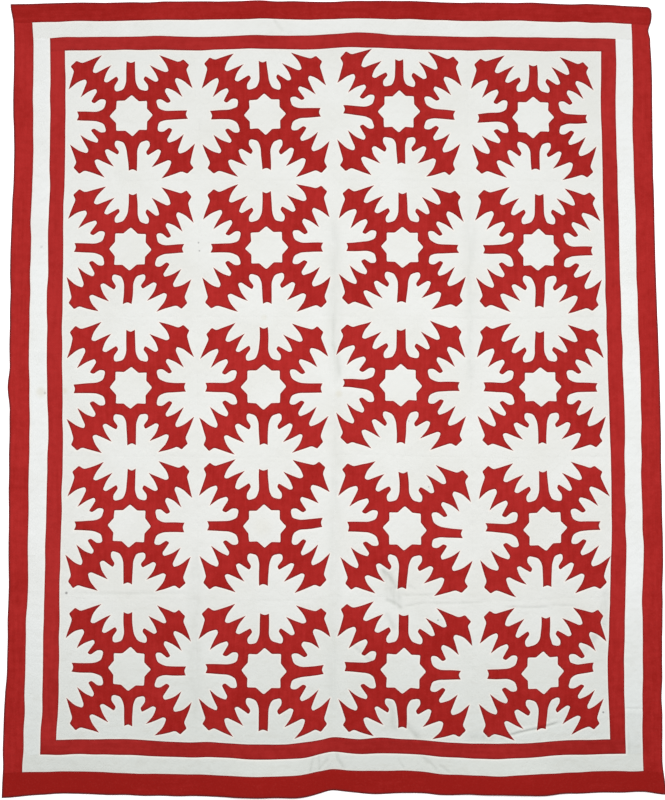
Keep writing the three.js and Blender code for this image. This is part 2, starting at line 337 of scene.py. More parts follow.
def creases(x, y):
    """The height that creases add at laid-out places, and the painted shade in them."""
    height = np.zeros(np.shape(x))
    grey = np.zeros(np.shape(x))
    for one in CREASES:
        off, share = along_path(x, y, one["path"])
        ends = smoothstep(share, 0, FADING) * smoothstep(1 - share, 0, FADING)
        trough = bell(off, one["half"])
        ridge = one["lip"] * bell(off - LIP_OFF * one["half"], LIP_HALF * one["half"])
        height += one["depth"] * ends * (ridge - trough)
        # painted shade: grey is laid into the colour along each crease's trough
        grey += one["grey"] * ends * trough
    return height, grey


dip, _ = creases(*np.array([CREASES[0]["path"][1]], float).T)
print("in the first crease the cloth dips by", round(-float(dip[0]), 1), "mm")

# %% [markdown]
# ## The leaf
# The maker folds a square of red cloth three times, cuts one edge, and unfolds a figure with
# eight equal parts. So only one eighth is drawn, from the middle of a stem's end to the corner of
# an arm. "across" is measured from the stem's centre line and "along" from the middle of the
# block, and "round" is how much of each side a rounded corner takes.

# %% One eighth of the leaf and of its star
LEAF = table("across along round place", [
    (0, 165, 6, "bite in the stem end"),
    (13, 171, 0, "stem end"),
    (14.6, 104, 11, "stem waist"),
    (24, 83.5, 8, "first gap, stem side"),
    (52, 75.5, 13, "end of the first gap"),
    (51.5, 95, 5.5, "first gap, thumb side"),
    (38, 113.5, 4.6, "thumb, stem side"),
    (43.5, 124, 4.8, "thumb, outer side"),
    (75.5, 104, 5, "second gap"),
    (85, 108.5, 5.2, "second gap, far side"),
    (76.5, 133, 12, "belly of the second gap"),
    (57.5, 158.5, 0, "middle point"),
    (107.5, 135.5, 5, "third gap"),
    (117, 139.5, 5.2, "third gap, far side"),
    (110, 162, 13, "belly of the third gap"),
    (86, 191, 0, "long point"),
    (146, 171, 6.5, "dip in the arm end"),
    (161.5, 180, 4, "corner bump"),
    (170.5, 170.5, 0, "middle of the corner"),
])
STAR = table("across along round place", [
    (0, 66.5, 5, "axis point"),
    (22, 47.2, 3, "inner corner"),
    (47.5, 47.5, 4, "diagonal corner"),
])
CORNER_STEPS = 6  # points along a rounded corner
EDGE_STEP = 5.0  # longest step along a straight edge
SHARP_CLEAR = 7.0  # no other point comes this near to a sharp one


def rounded(rows):
    """An edge through the rows of a table, with its corners rounded and its straight runs divided.
    The stem's axis and the diagonal are mirrors, so a corner on one is rounded as half a corner."""
    points = [np.array([row["across"], row["along"]], float) for row in rows]
    before = [points[1] * (-1, 1)] + points[:-1]
    after = points[1:] + [points[-2][::-1]]
    edge = []
    sharp = []
    for k, row in enumerate(rows):
        if row["round"] == 0:
            edge.append(points[k])
            sharp.append(points[k])
            continue
        arrive = (before[k] - points[k]) / np.linalg.norm(before[k] - points[k])
        leave = (after[k] - points[k]) / np.linalg.norm(after[k] - points[k])
        first = CORNER_STEPS // 2 if k == 0 else 0
        last = CORNER_STEPS // 2 if k == len(rows) - 1 else CORNER_STEPS
        for t in np.arange(first, last + 1) / CORNER_STEPS:
            pull = row["round"] * ((1 - t) ** 2 * arrive + t * t * leave)
            edge.append(points[k] + pull)
    fine = [edge[0]]
    for start, end in zip(edge[:-1], edge[1:]):
        steps = max(1, math.ceil(np.linalg.norm(end - start) / EDGE_STEP))
        for t in np.arange(1, steps + 1) / steps:
            point = start + (end - start) * t
            crowded = any(0 < np.linalg.norm(point - tip) < SHARP_CLEAR for tip in sharp)
            if t == 1 or not crowded:
                fine.append(point)
    return np.array(fine)


leaf_edge = rounded(LEAF)
star_edge = rounded(STAR)
eighth = np.concatenate([leaf_edge, star_edge[::-1]])
print("one eighth:", len(leaf_edge), "points on the leaf's edge,", len(star_edge), "on the star's")

# %% [markdown]
# The ground sinks along the leaf's edge, where the sewing draws it down, so every block needs to
# know how far each of its points is from that edge. The eight parts are alike, so a point is
# folded into the first eighth, and only that short edge is measured.

# %% Distance from the leaf's edge
JUST_OFF_MIRROR = 1 - 1e-9  # keeps a point on the diagonal inside its eighth


def gap_to_leaf(u, v):
    """How far places are from the leaf's edge, in its own axes: below zero on the leaf itself."""
    across = np.minimum(np.abs(u), np.abs(v)) * JUST_OFF_MIRROR
    along = np.maximum(np.abs(u), np.abs(v))
    nearest = np.full(across.shape, np.inf)
    for edge in (leaf_edge, star_edge):
        for start, end in zip(edge[:-1], edge[1:]):
            dx, dy = end - start
            t = ((across - start[0]) * dx + (along - start[1]) * dy) / (dx * dx + dy * dy)
            t = np.clip(t, 0, 1)
            away = np.hypot(across - start[0] - t * dx, along - start[1] - t * dy)
            nearest = np.minimum(nearest, away)
    inside = np.zeros(across.shape, bool)
    for start, end in zip(eighth, np.roll(eighth, -1, axis=0)):
        if start[1] == end[1]:
            continue
        crossing = start[0] + (along - start[1]) * (end[0] - start[0]) / (end[1] - start[1])
        inside ^= ((start[1] > along) != (end[1] > along)) & (across < crossing)
    return np.where(inside, -nearest, nearest)


on_diagonal = np.array([0.0, 100.0])
print("gap at the middle, on an arm:", gap_to_leaf(on_diagonal, on_diagonal).round(1))

# %% [markdown]
# ## Placing the leaves
# Each leaf was pinned on its block by eye, so it sits a little off the middle and slightly turned.
# The folded cloth slipped under the scissors, and no two arms are quite equal: "arms" is how much
# further than drawn they reach, from upper left and upper right to lower left and lower right, and
# "leans" is how far each end leans aside, clockwise. "size" is the whole leaf's, as a share of the
# drawing, and "star" is how much wider its hole was cut. Many stems stray too. Three numbers give
# how far a stem is set aside, how much further its end leans, both to the right or up, and how
# much longer than drawn it is.

# %% Where each leaf lies
PLACING = table("row column right up turn size star arms leans", [
    (1, 1, 0, -1, 0.5, 1, -1, (2, -6, 1, 8), (-7, 0, 1, 0)),
    (1, 2, -4, 0, 1.5, 1, -2, (5, 0, 2, 8), (0, 2, 2, -1)),
    (1, 3, -3, 8, -0.5, 1, 0, (2, 0, 5, 4), (0, 2, -4, 13)),
    (1, 4, -3, -3, 0.5, 1, -2, (1, -9, -2, 7), (0, 0, 2, 5)),
    (2, 1, -2, -1, -2, 1, -1, (1, 2, 9, 0), (0, -1, -8, -4)),
    (2, 2, 3, 3, 0.5, 1.01, -1, (0, 5, 6, 4), (-1, -1, -1, 4)),
    (2, 3, 4, 2, -1, 1, -2, (2, -2, -2, 0), (-4, -1, 3, -7)),
    (2, 4, 7, -1, -0.5, 1, -1, (3, -3, 1, 5), (-1, -3, 3, 6)),
    (3, 1, 4, -4, 0.5, 1.03, -2, (1, 0, 4, -5), (4, -8, -3, 10)),
    (3, 2, -7, -1, 0, 1.03, 0, (-10, -1, 3, -1), (5, -1, -6, 5)),
    (3, 3, -4, 2.5, -1, 1.03, -4, (-4, 0, -2, -3), (-1, -6, -1, -4)),
    (3, 4, 4, 0, 0.5, 1, -3, (7, -3, -2, 5), (10, 3, 3, 4)),
    (4, 1, 1, 4, -1.5, 1, -1, (-3, 4, 7, 0), (-2, -9, -8, 4)),
    (4, 2, -5, 8, 0.5, 1.03, -3, (2, 0, 1, 3), (7, -1, -3, 4)),
    (4, 3, 4, -7, -1.5, 1.03, -1, (8, 2, -5, 4), (-2, 0, -12, -9)),
    (4, 4, 11, -1, 1.5, 1.03, -1, (5, -8, 3, -1), (9, -3, -1, 7)),
    (5, 1, 5, 3, -1, 1, -2, (2, -9, 0, 6), (-4, -12, -10, 6)),
    (5, 2, -2, 3, -1, 1.03, 1, (5, -3, -3, 6), (-5, 0, -3, -2)),
    (5, 3, 1, -8.5, -1, 1.035, 1, (8, 5, -6, 1), (4, 13, -6, -6)),
    (5, 4, 7, -6.5, 0.5, 1, -2, (3, 3, 5, -10), (7, 4, -4, 5)),
])
STEMS = {
    (1, 2): {"top": (0, 0, -6), "left": (4, 0, -4)},
    (1, 3): {"top": (0, -4, -7), "bottom": (6, 0, -10), "left": (-1, 8, 0), "right": (1, -8, 0)},
    (1, 4): {"top": (0, 0, -8), "bottom": (1, 4, -6), "left": (1, -5, 0), "right": (-4, 0, -5)},
    (2, 1): {"right": (-3, 10, -5)},
    (2, 2): {"left": (0, 0, -3)},
    (2, 4): {"top": (4, 0, 0), "bottom": (0, 0, 4), "left": (4, -2, 0), "right": (-4, 2, -7)},
    (3, 1): {"bottom": (3, -2, 0), "left": (-2, 0, -3), "right": (0, 0, -7)},
    (3, 2): {"top": (0, 0, 8), "bottom": (0, 0, -4), "right": (1, -6, 3)},
    (3, 3): {"top": (0, 0, -6), "bottom": (2, 0, 3), "left": (3, 0, 0)},
    (3, 4): {"top": (3, 0, 0), "bottom": (0, 0, 4), "left": (2, 0, 0), "right": (-2, 0, 0)},
    (4, 1): {"top": (3, -2, 2), "bottom": (2, 0, 3), "left": (-3, 0, -6), "right": (0, 0, -5)},
    (4, 2): {"top": (0, 0, -8), "left": (0, 0, -4), "right": (3, 0, -3)},
    (4, 3): {"top": (1, -8, -4), "bottom": (0, -4, 7), "left": (0, 0, -5), "right": (-2, -4, -4)},
    (4, 4): {"top": (0, 0, -5), "bottom": (3, 0, -2), "left": (3, 6, 1), "right": (0, 0, -10)},
    (5, 1): {"top": (-1, -6, -1), "bottom": (-1, 6, 0), "left": (-3, 4, 3)},
    (5, 2): {"top": (-4, 0, -6), "left": (0, 0, 1), "right": (-3, 0, 2)},
    (5, 3): {"top": (0, -2, -9), "bottom": (0, 0, -5), "left": (6, 0, -4), "right": (-2, 0, -3)},
    (5, 4): {"top": (8, 0, -5), "bottom": (0, -5, -3), "left": (0, 0, -5), "right": (4, 8, -19)},
}


def block_middle(row, column):
    return FIELD_LEFT + (column - 0.5) * BLOCK_WIDTH, (ROW_SEAMS[row - 1] + ROW_SEAMS[row]) / 2


print("leaves:", len(PLACING), "and straying stems:", sum(len(stems) for stems in STEMS.values()))

# %% [markdown]
# What the scissors did is worked out as shifts of the drawing, so that one drawing serves all
# twenty leaves. An arm's or stem's own numbers count fully at its end and fade towards the middle.

# %% How each leaf was cut
ARM_SIGNS = [(-1, 1), (1, 1), (-1, -1), (1, -1)]
ARM_LENGTH = 165  # along each axis, to the end of an arm
STAR_SIZE = 60  # from the middle to about the edge of the star
STAR_CLEAR = 95  # and to where its own size no longer counts
STEM_ROOT = 55  # from the middle to where a stem starts to be set aside
STEM_ASIDE = 100  # and to where it is all the way aside
STEM_FOOT = 75  # from the middle to where a stem starts to lean
STEM_TIP = 170  # and to its end
STEM_HALF = 17  # what lies this near to a stem's centre line goes with it
STEM_CLEAR = 37  # and what lies further off than this stays
PAST_END = 1.2  # a shift grows up to this share beyond an end
WANDER = 2.0  # how far the scissors wander
WANDER_SIZE = 50  # and over what length
WANDER_SEED = 100  # where the leaves' own seeds start, and from one axis to the other


def bend_stem(u, v, stem, aside, lean, longer):
    """The shift that sets a stem aside, leans its end, and makes it longer."""
    upright = stem in ("top", "bottom")
    sign = 1 if stem in ("top", "right") else -1
    along, across = (sign * v, u) if upright else (sign * u, v)
    reach = np.clip((along - STEM_FOOT) / (STEM_TIP - STEM_FOOT), 0, PAST_END)
    near = 1 - smoothstep(np.abs(across), STEM_HALF, STEM_CLEAR)
    sideways = (aside * smoothstep(along, STEM_ROOT, STEM_ASIDE) + lean * reach) * near
    outward = sign * longer * reach * near
    return (sideways, outward) if upright else (outward, sideways)


def hand_cut(u, v, placing):
    """How far the cut strays from the drawing at places of one leaf, as two shifts."""
    seed = WANDER_SEED + 10 * placing["row"] + placing["column"]
    shift_u = WANDER * soft_noise(u, v, WANDER_SIZE, seed)
    shift_v = WANDER * soft_noise(u, v, WANDER_SIZE, seed + WANDER_SEED)
    hole = placing["star"] * (1 - smoothstep(np.hypot(u, v), STAR_SIZE, STAR_CLEAR)) / STAR_SIZE
    shift_u = shift_u + u * hole
    shift_v = shift_v + v * hole
    for (sign_u, sign_v), further, lean in zip(ARM_SIGNS, placing["arms"], placing["leans"]):
        share_u = np.clip(sign_u * u / ARM_LENGTH, 0, PAST_END)
        share = share_u * np.clip(sign_v * v / ARM_LENGTH, 0, PAST_END)
        shift_u = shift_u + (sign_u * further + sign_v * lean) * share / math.sqrt(2)
        shift_v = shift_v + (sign_v * further - sign_u * lean) * share / math.sqrt(2)
    for stem, amounts in STEMS.get((placing["row"], placing["column"]), {}).items():
        bend_u, bend_v = bend_stem(u, v, stem, *amounts)
        shift_u = shift_u + bend_u
        shift_v = shift_v + bend_v
    return shift_u, shift_v


strayed = hand_cut(np.array([0.0]), np.array([171.0]), PLACING[0])
print("the first stem's end strays by", [round(float(v[0]), 1) for v in strayed], "mm")

# %% [markdown]
# Then the leaf is pinned on: it takes its size and turn and goes to its place on the block. A
# block asks the other way round, which part of the drawing lies at a place, and there the shifts
# are taken off again step by step.

# %% From the drawing to the plan and back
STEPS_BACK = 3


def from_leaf(u, v, placing):
    """Places of one leaf's drawing, as it was cut and pinned, on the plan."""
    shift_u, shift_v = hand_cut(u, v, placing)
    u = (u + shift_u) * placing["size"]
    v = (v + shift_v) * placing["size"]
    turn = math.radians(placing["turn"])
    middle_x, middle_y = block_middle(placing["row"], placing["column"])
    x = middle_x + placing["right"] + u * math.cos(turn) - v * math.sin(turn)
    y = middle_y + placing["up"] + u * math.sin(turn) + v * math.cos(turn)
    return x, y


def to_leaf(x, y, placing):
    """Places of the plan in one leaf's drawing."""
    turn = math.radians(placing["turn"])
    middle_x, middle_y = block_middle(placing["row"], placing["column"])
    dx = x - middle_x - placing["right"]
    dy = y - middle_y - placing["up"]
    cut_u = (dx * math.cos(turn) + dy * math.sin(turn)) / placing["size"]
    cut_v = (dy * math.cos(turn) - dx * math.sin(turn)) / placing["size"]
    u, v = cut_u, cut_v
    for _ in range(STEPS_BACK):
        shift_u, shift_v = hand_cut(u, v, placing)
        u = cut_u - shift_u
        v = cut_v - shift_v
    return u, v


there = from_leaf(np.array([150.0]), np.array([-160.0]), PLACING[14])
back = to_leaf(*there, PLACING[14])
print("a place at 150, -160 taken there and back:", [round(float(b[0]), 2) for b in back])

# %% [markdown]
# ## The face of the cloth
# Three things shape the face of a quilted piece. A seam draws its edge down and puckers it,
# rows of quilting press slanting grooves into the white cloth, and the ground sinks beside and
# under a leaf. All heights are in millimetres above the cloth's own underside.

# %% Heights of the face
SEAM_DRAW = 0.8
BLOCK_DRAW = 0.15  # the same between two blocks, whose seam was pressed open
SEAM_REACH = 3.5
SEAM_STEEPNESS = 1.3
PUCKER = {"height": 0.35, "size": 13, "seed": 7, "reach": 14}  # beside a seam
THINNEST = 0.8  # the cloth is never pressed flatter
QUILT_PITCH = 20.5  # from one slanting row of quilting to the next
QUILT_DEPTH = 0.16
QUILT_HALF = 2.6
PULL = {"mean": 0.55, "spread": 0.45, "size": 90, "seed": 8}  # of the quilting thread
LEAF_DITCH = 0.5  # the ground's sinking along the leaf's edge
DITCH_HALF = 3.5
LEAF_UNDER = 0.6  # and its further sinking beneath the leaf
UNDER_REACH = 5  # from the leaf's edge to where it has sunk that far


def face(x, y, rim, draw):
    """The face at laid-out places that are `rim` inside the seams of their piece."""
    seam = draw * np.exp(-((rim / SEAM_REACH) ** SEAM_STEEPNESS))
    bumps = PUCKER["height"] * soft_noise(x, y, PUCKER["size"], PUCKER["seed"])
    pucker = bumps * np.exp(-rim / PUCKER["reach"])
    return CLOTH + waves(x, y) + creases(x, y)[0] - seam + pucker


def quilting(x, y):
    """The slanting rows of quilting at laid-out places."""
    across = (x - y) / math.sqrt(2) / QUILT_PITCH
    off = np.abs(across - np.round(across)) * QUILT_PITCH
    pulled = PULL["mean"] + PULL["spread"] * soft_noise(x, y, PULL["size"], PULL["seed"])
    return -QUILT_DEPTH * pulled * bell(off, QUILT_HALF)


def beside_leaf(gap):
    """How far the ground sinks at a distance from the leaf's edge."""
    ditch = LEAF_DITCH * bell(np.maximum(gap, 0), DITCH_HALF)
    return ditch + LEAF_UNDER * smoothstep(-gap, 0, UNDER_REACH)


def round_over(inside, width):
    """The rise of a round edge, from 0 at the edge itself to 1 at its width."""
    return np.sqrt(1 - (1 - np.clip(inside / width, 0, 1)) ** 2)


print("face: cloth", CLOTH, "mm, quilting every", QUILT_PITCH, "mm")

# %% [markdown]
# ## Sheets from a grid
# A woven sheet is a grid by nature, so each piece of cloth starts from create_grid. The grid's
# rows are then set close together near the seams, where the cloth bends most, and in stretches
# with small creases, and further apart elsewhere. Its rim is extruded down and filled, so that the
# sheet is a closed body with the thickness of the quilt. A strip that lifts off the floor keeps
# the grid underneath as well.

# %% Making sheets
CELL = 4.7
FINE_CELL = 2.3
LAST_CELL = 1.5  # the last cell may be this much wider than the others
SEAM_STATIONS = np.array([GAP / 2, 1.2, 2.8, 5.2, 8.5])
CREASED_X = [(-80, 40), (140, 350), (625, 690), (725, 825)]
CREASED_Y = [(-1140, -1075), (-1045, -920), (-815, -720), (-660, -525)]


def stations(low, high, creased):
    """Places between two seams, close together near each of them and in the creased stretches."""
    inner = [low + SEAM_STATIONS[-1]]
    end = high - SEAM_STATIONS[-1]
    while True:
        fine = any(start <= inner[-1] <= stop for start, stop in creased)
        step = FINE_CELL if fine else CELL
        if inner[-1] + LAST_CELL * step > end:
            break
        inner.append(inner[-1] + step)
    return np.concatenate([low + SEAM_STATIONS, inner[1:], (high - SEAM_STATIONS)[::-1]])


def vertices(items):
    return [item for item in items if isinstance(item, bmesh.types.BMVert)]


def rim_edges(bm):
    return [edge for edge in bm.edges if edge.is_boundary]


def to_mesh(bm, name):
    mesh = bpy.data.meshes.new(name)
    bm.to_mesh(mesh)
    bm.free()
    return mesh


def grid_mesh(name, xs, ys, lifted=False):
    """A closed sheet over stations of the plan: its face is at height 1 and its underside at 0."""
    bm = bmesh.new()
    bmesh.ops.create_grid(bm, x_segments=len(xs) - 1, y_segments=len(ys) - 1, size=0.5)
    for vert in bm.verts:
        column = round((vert.co.x + 0.5) * (len(xs) - 1))
        row = round((vert.co.y + 0.5) * (len(ys) - 1))
        vert.co = (xs[column], ys[row], 1)
    if lifted:
        made = bmesh.ops.extrude_face_region(bm, geom=bm.faces[:], use_keep_orig=True)
    else:
        made = bmesh.ops.extrude_edge_only(bm, edges=rim_edges(bm))
    bmesh.ops.translate(bm, verts=vertices(made["geom"]), vec=(0, 0, -1))
    if not lifted:
        bmesh.ops.edgeloop_fill(bm, edges=rim_edges(bm))
    bmesh.ops.recalc_face_normals(bm, faces=bm.faces[:])
    return to_mesh(bm, name)


print("stations across a block:", len(stations(0, BLOCK_WIDTH, CREASED_X)))

# %% [markdown]
# A grid's points are read all at once, moved to where the cloth lies, and written back. What the
# cottons need to know of each point, such as its distance from a seam, is stored on the mesh as an
# attribute. A finished mesh becomes an object that rides on its body.

# %% Points, attributes and objects
SHARP = math.radians(55)  # an edge that turns more than this stays sharp


def read_points(mesh):
    points = np.zeros(len(mesh.vertices) * 3)
    mesh.vertices.foreach_get("co", points)
    return points.reshape(-1, 3).T


def write_points(mesh, x, y, z):
    mesh.vertices.foreach_set("co", np.stack([x, y, z], axis=1).ravel() * MM)
    mesh.update()


def add_values(mesh, name, values):
    """A number at each point, or one number for all, for a material to read."""
    layer = mesh.attributes.new(name, "FLOAT", "POINT")
    layer.data.foreach_set("value", np.full(len(mesh.vertices), values, np.float32))


def add_vectors(mesh, name, along_x, along_y):
    """A flat vector at each point, for a material to read."""
    layer = mesh.attributes.new(name, "FLOAT_VECTOR", "POINT")
    flat = np.stack([along_x, along_y, np.zeros_like(along_x)], axis=1)
    layer.data.foreach_set("vector", flat.astype(np.float32).ravel())


def add_object(name, data):
    made = bpy.data.objects.new(name, data)
    bpy.context.scene.collection.objects.link(made)
    return made


def add_piece(mesh, body="root"):
    """An object for a finished mesh, smooth but for its sharp rim, riding on its body."""
    mesh.shade_smooth()
    mesh.set_sharp_from_angle(angle=SHARP)
    piece = add_object(mesh.name, mesh)
    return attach(piece, body)


print("edges that turn more than", round(math.degrees(SHARP)), "degrees stay sharp")

# %% [markdown]
# ## The white blocks
# The ground cloth is one square of white cotton to each block. It carries the slanting quilting,
# which stops short of the leaf, and it is pressed down along the leaf's edge and under it.
# Each point also keeps its distance from the leaf for the cotton's stitches.

# %% Make the blocks
CREASED_BLOCKS = [(4, 3), (4, 4), (5, 3), (5, 4)]
QUILT_START = (2, 8)  # from the leaf's edge to the first of the quilting and to all of it
AGE = {"block": 0.42, "left": 0.02, "right": 0, "top": 0.3, "bottom": 0.5}  # of the white cloth


def rim_of_block(x, y, row, column):
    """How far places of the plan are inside the seams of their block."""
    middle_x, _ = block_middle(row, column)
    across = BLOCK_WIDTH / 2 - np.abs(x - middle_x)
    along = np.minimum(ROW_SEAMS[row - 1] - y, y - ROW_SEAMS[row])
    return np.maximum(np.minimum(across, along), 0)


def field_rim(x, y):
    """How far places of the plan are inside the red strips round the field."""
    across = -FIELD_LEFT - np.abs(x)
    along = np.minimum(FIELD_HIGH - y, y - FIELD_LOW)
    return np.maximum(np.minimum(across, along), 0)


blocks = {}
for placing in PLACING:
    key = (placing["row"], placing["column"])
    row, column = key
    left = FIELD_LEFT + (column - 1) * BLOCK_WIDTH
    creased = key in CREASED_BLOCKS
    xs = stations(left, left + BLOCK_WIDTH, CREASED_X if creased else [])
    ys = stations(ROW_SEAMS[row], ROW_SEAMS[row - 1], CREASED_Y if creased else [])
    mesh = grid_mesh("ground_%d_%d" % key, xs, ys)
    plan_x, plan_y, top = read_points(mesh)
    x, y = lay_out(plan_x, plan_y)
    rim = rim_of_block(plan_x, plan_y, row, column)
    gap = gap_to_leaf(*to_leaf(plan_x, plan_y, placing))
    rows = quilting(x, y) * smoothstep(gap, *QUILT_START)
    height = np.maximum(face(x, y, rim, BLOCK_DRAW) + rows - beside_leaf(gap), THINNEST)
    write_points(mesh, x, y, lift(plan_x, plan_y) + np.where(top > 0.5, height, 0))
    add_values(mesh, "leaf_gap", gap * MM)
    add_values(mesh, "rim", field_rim(plan_x, plan_y) * MM)
    # painted shade of the creases, for the white cotton
    add_values(mesh, "grey", creases(x, y)[1])
    add_values(mesh, "age", AGE["block"])
    blocks[key] = add_piece(mesh)
print("blocks:", len(blocks), "and the last has", len(mesh.vertices), "points")

# %% [markdown]
# ## The red leaves
# One leaf is cut once and used twenty times. The eighth is filled as a single face, mirrored in
# its diagonal and spun round the middle, just as the folded cloth opens. An inset gives the
# strip that rolls over at the edge, and cuts across the face let it follow the ground's waves.
# The rim is extruded down and the eight original faces close the leaf underneath.

# %% Cut one leaf
LEAF_ROLL = 1.5  # width of the leaf's rolled edge
LEAF_CELL = 5.5
LEAF_REACH = 200  # beyond the longest point
SAME_PLACE = 0.01  # points nearer to each other than this are one
ON_CUT = 0.0005  # a point this near to a cut lies on it
STRAIGHT = 0.001  # a line that strays less than this from an axis isn't slanting


def faces(items):
    return [item for item in items if isinstance(item, bmesh.types.BMFace)]


def everything(bm):
    return bm.verts[:] + bm.edges[:] + bm.faces[:]


def is_slanting(edge):
    run = edge.verts[1].co - edge.verts[0].co
    return min(abs(run.x), abs(run.y)) > STRAIGHT


def cut_across(bm, inner):
    """Divides flat faces into square cells, and leaves no other line inside them."""
    convex = bmesh.ops.connect_verts_concave(bm, faces=inner)["faces"]
    inner = [one for one in dict.fromkeys(inner + convex) if one.is_valid]
    parts = list(dict.fromkeys(part for one in inner for part in (one, *one.edges, *one.verts)))
    for axis in (Vector((1, 0, 0)), Vector((0, 1, 0))):
        for place in np.arange(-LEAF_REACH + LEAF_CELL / 2, LEAF_REACH, LEAF_CELL):
            point = axis * float(place)
            cut = bmesh.ops.bisect_plane(bm, geom=parts, dist=ON_CUT, plane_co=point, plane_no=axis)
            parts = cut["geom"]
    cells = dict.fromkeys(faces(parts))
    lines = dict.fromkeys(edge for one in cells for edge in one.edges)
    inside = [edge for edge in lines if all(one in cells for one in edge.link_faces)]
    slanting = [edge for edge in inside if is_slanting(edge)]
    bmesh.ops.dissolve_edges(bm, edges=slanting, use_verts=True)


def cut_leaf():
    """The drawn leaf as a closed sheet: its face is at height 1 and its underside at 0."""
    bm = bmesh.new()
    bm.faces.new([bm.verts.new((across, along, 0)) for across, along in eighth])
    diagonal = Matrix.Rotation(math.radians(45), 4, "Z")
    bmesh.ops.mirror(bm, geom=everything(bm), matrix=diagonal, axis="X", merge_dist=-1)
    turn = {"axis": (0, 0, 1), "cent": (0, 0, 0), "angle": math.radians(270), "steps": 3}
    bmesh.ops.spin(bm, geom=everything(bm), use_duplicate=True, **turn)
    bmesh.ops.remove_doubles(bm, verts=bm.verts[:], dist=SAME_PLACE)
    bmesh.ops.recalc_face_normals(bm, faces=bm.faces[:])
    flat = bm.faces[:] + bm.edges[:]
    upper = bmesh.ops.extrude_face_region(bm, geom=flat, use_keep_orig=True)["geom"]
    bmesh.ops.translate(bm, verts=vertices(upper), vec=(0, 0, 1))
    bmesh.ops.recalc_face_normals(bm, faces=bm.faces[:])
    bmesh.ops.inset_region(bm, faces=faces(upper), thickness=LEAF_ROLL, use_even_offset=True)
    cut_across(bm, faces(upper))
    return to_mesh(bm, "drawn_leaf")


drawn_leaf = cut_leaf()
drawn_leaf.calc_loop_triangles()

# %% [markdown]
# Each leaf is a copy of that cut, strayed by the scissors, turned, moved to its block and laid on
# the waves of the ground. Its edge starts low in the ditch and rolls over a turned-under hem, and
# a shallow row of quilting echoes the edge a finger's width inside.

# %% Sew on the leaves
LEAF_RISE = 0.9  # the leaf's face above the ground
LEAF_LIP = 0.25  # the edge's own height above the ditch
LEAF_DIP_HALF = 4  # how far in from its edge the leaf follows the ditch
LEAF_SUNK = 0.15  # its underside lies this far in the ground, so that no gap shows
ECHO = {"inside": 9, "half": 3.5, "depth": 0.25}
leaves = {}
for placing in PLACING:
    key = (placing["row"], placing["column"])
    mesh = drawn_leaf.copy()
    mesh.name = "leaf_cloth_%d_%d" % key
    u, v, top = read_points(mesh)
    inside = np.abs(gap_to_leaf(u, v))
    plan_x, plan_y = from_leaf(u, v, placing)
    x, y = lay_out(plan_x, plan_y)
    rim = rim_of_block(plan_x, plan_y, *key)
    ground = face(x, y, rim, BLOCK_DRAW) - LEAF_DITCH * bell(inside, LEAF_DIP_HALF)
    echo = ECHO["depth"] * bell(inside - ECHO["inside"], ECHO["half"])
    over = ground + LEAF_LIP + (LEAF_RISE - LEAF_LIP) * round_over(inside, LEAF_ROLL) - echo
    write_points(mesh, x, y, np.where(top > 0.5, over, ground - LEAF_SUNK))
    add_values(mesh, "rim", inside * MM)
    add_values(mesh, "hem", 1)
    add_vectors(mesh, "grain", u * MM, v * MM)
    leaves[key] = add_piece(mesh)
print("leaves:", len(leaves), "on blocks", sorted(leaves)[0], "to", sorted(leaves)[-1])

# %% [markdown]
# ## The border strips
# Three rounds of strips frame the field. The top and bottom strips run the full width and the
# side strips fit between them, as is usual where a border isn't mitred. Long strips come off a
# grid too. First the plan says where each lies, and how far a place is from the seams beside it.

# %% Plan of the strips
def strip_plans():
    """Each strip's round, side, and its left, right, low and high edges on the plan."""
    left, right, low, high = FIELD_LEFT, -FIELD_LEFT, FIELD_LOW, FIELD_HIGH
    for one in ROUNDS:
        out_left, out_right = left - one["side"], right + one["side"]
        out_low, out_high = low - one["bottom"], high + one["top"]
        yield one, "left", (out_left, left, low, high)
        yield one, "right", (right, out_right, low, high)
        yield one, "bottom", (out_left, out_right, out_low, low)
        yield one, "top", (out_left, out_right, high, out_high)
        left, right, low, high = out_left, out_right, out_low, out_high


def rim_of_strip(x, y, side, edges, corner):
    """How far places of the plan are from the long seams of a strip, and from its outer ends. Past
    a corner of the round inside it, a top or bottom strip has only that corner beside it."""
    left, right, low, high = edges
    from_sides = np.minimum(x - left, right - x)
    if side in ("left", "right"):
        return from_sides
    inner, outer = (low, high) if side == "top" else (high, low)
    past = np.maximum(np.abs(x) - right + corner, 0)
    from_rounds = np.minimum(np.hypot(y - inner, past), np.abs(y - outer))
    return np.minimum(from_sides, from_rounds)


print("strips:", ", ".join("%s %s" % (one["name"], side) for one, side, _ in strip_plans()))

# %% [markdown]
# Their stitching puckers the strips across, the white round has the same slanting quilting as the
# blocks, and the outer round ends in a hem, where the cloth is turned over and its edge is round.
# The right white strip was pieced from two lengths, and the lower one is dingier.

